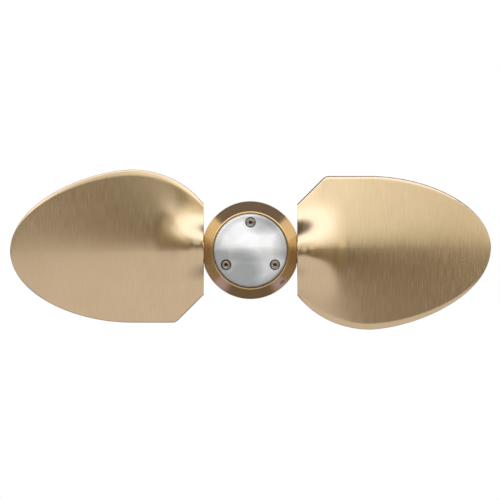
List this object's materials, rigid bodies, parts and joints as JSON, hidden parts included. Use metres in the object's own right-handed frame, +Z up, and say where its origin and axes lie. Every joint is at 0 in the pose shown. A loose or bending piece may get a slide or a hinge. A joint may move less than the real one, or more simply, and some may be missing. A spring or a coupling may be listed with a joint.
{
  "type": "two-blade feathering propeller",
  "caption": "Feathering ship propeller with broad bronze blades that turn in a round hub, drive boss with tapered bore, and a zinc anode in a chamfered cap.",
  "frame": {"origin": "centre of the drive boss's forward face, on the shaft axis", "axes": "+Y forward along the shaft, +Z up, +X along the right blade as seen from aft"},
  "size_m": [0.4064, 0.0916, 0.1352],
  "materials": {
    "bronze": "brushed bronze",
    "zinc": "satin zinc",
    "steel": "stainless steel",
    "rubber": "dark seal"
  },
  "bodies": {
    "hub": {"hub_fore_half": "bronze", "hub_aft_half": "bronze", "hub_cap": "bronze", "anode": "zinc", "drive_boss": "bronze", "boss_seal_ring": "rubber", "nut_tab_washer": "steel", "shaft_nut": "bronze", "seal_ring_right": "rubber", "seal_ring_left": "rubber", "anode_screw_1": "steel", "anode_screw_2": "steel", "anode_screw_3": "steel", "cap_lock_screw": "steel", "grease_plug_top": "steel", "grease_plug_bottom": "steel", "housing_screw_1": "steel", "housing_screw_2": "steel", "housing_screw_3": "steel", "housing_screw_4": "steel", "housing_screw_5": "steel", "housing_screw_6": "steel"},
    "blade_right": {"blade_right": "bronze"},
    "blade_left": {"blade_left": "bronze"}
  },
  "joints": [
    {"name": "blade_right_pitch", "type": "hinge", "parent": "hub", "child": "blade_right", "pos_m": [0, -0.042, 0], "axis": [-1, 0, 0], "range_deg": [0, 180]},
    {"name": "blade_left_pitch", "type": "hinge", "parent": "hub", "child": "blade_left", "pos_m": [0, -0.042, 0], "axis": [1, 0, 0], "range_deg": [0, 180]}
  ],
  "couplings": [
    {"joint": "blade_left_pitch", "follows": "blade_right_pitch", "ratio": 1}
  ]
}
